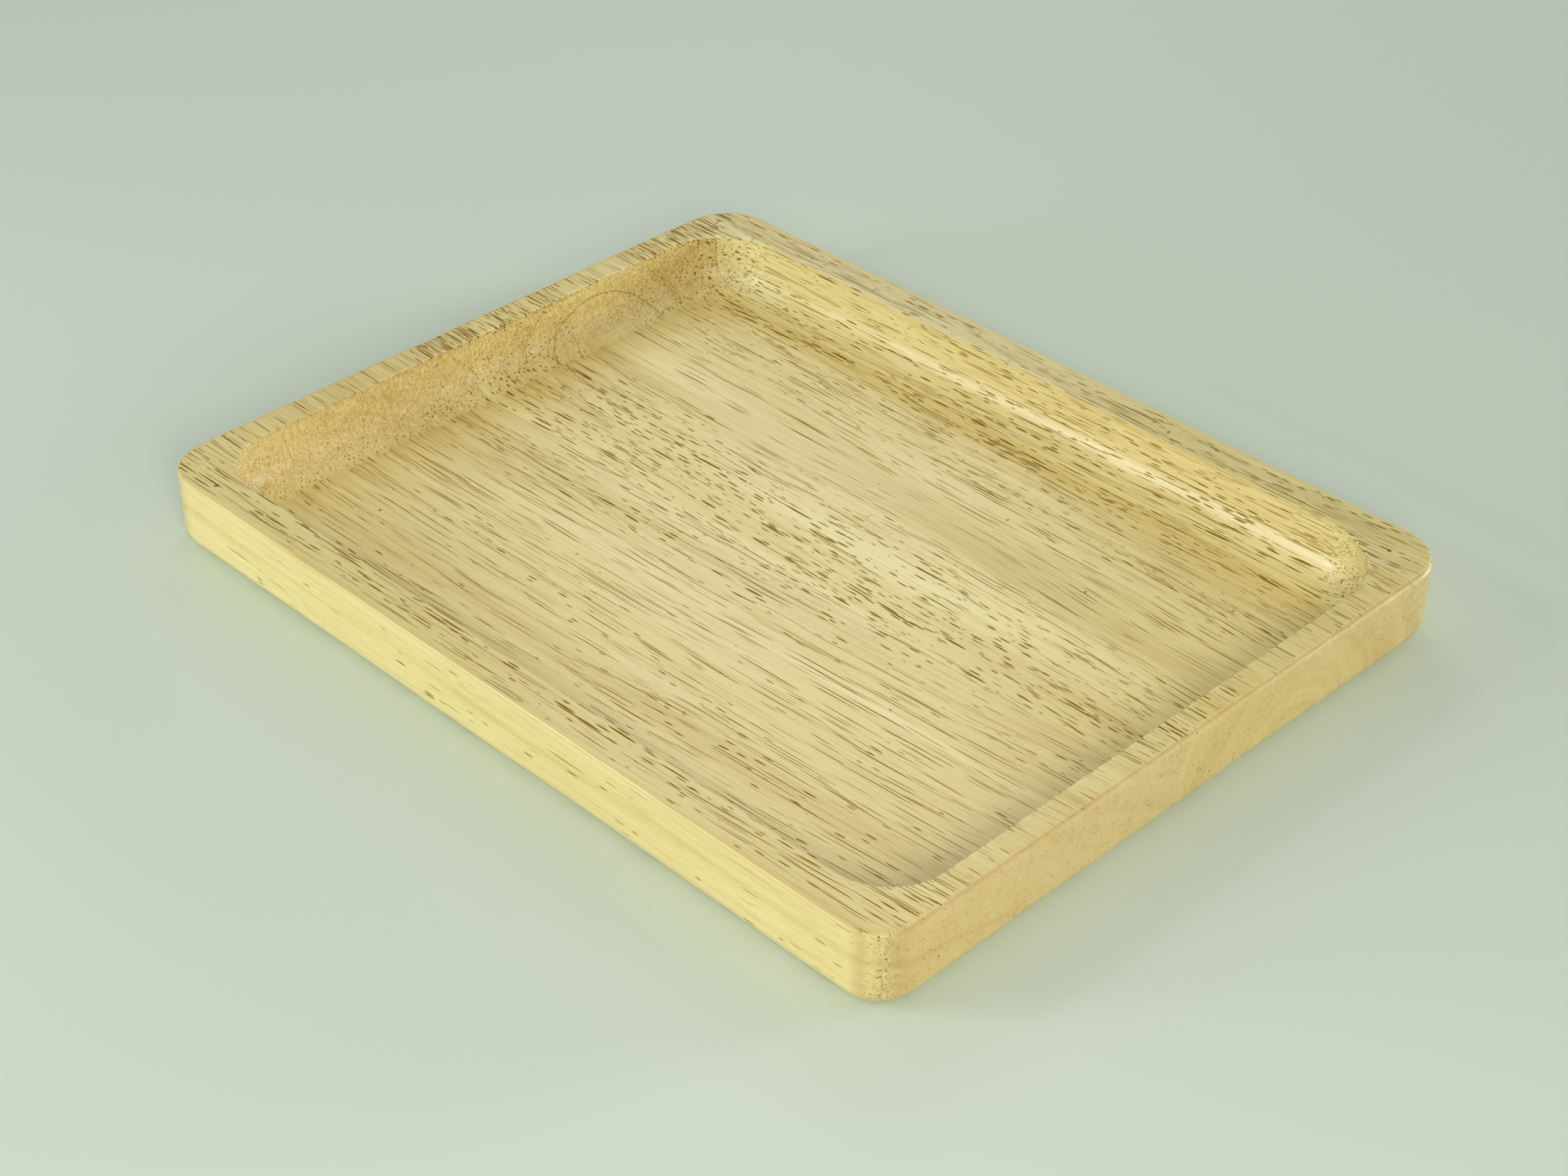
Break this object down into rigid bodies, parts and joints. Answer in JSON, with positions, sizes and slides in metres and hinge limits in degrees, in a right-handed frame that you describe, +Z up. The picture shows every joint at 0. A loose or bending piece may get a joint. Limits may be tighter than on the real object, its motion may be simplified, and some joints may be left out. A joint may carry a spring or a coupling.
{
  "type": "serving tray",
  "caption": "Rectangular wooden serving tray with rounded corners, a flat rim and a coved recess, cut from staves glued edge to edge.",
  "frame": {"origin": "centre of the underside", "axes": "+X along the grain and the tray's length, +Y across the staves, +Z up out of the recess"},
  "size_m": [0.25, 0.196, 0.0205],
  "materials": {
    "front_stave_wood": "pale straight-grained hardwood, sanded and clear coated satin",
    "middle_stave_wood": "pale hardwood with dark pore dashes, sanded and clear coated satin",
    "back_stave_wood": "pale hardwood, slightly warmer, sanded and clear coated satin",
    "cured_glue": "thin cured wood glue, translucent tan"
  },
  "bodies": {
    "root": {"front_stave": "front_stave_wood", "middle_stave": "middle_stave_wood", "back_stave": "back_stave_wood", "front_glue_line": "cured_glue", "back_glue_line": "cured_glue"}
  },
  "joints": []
}
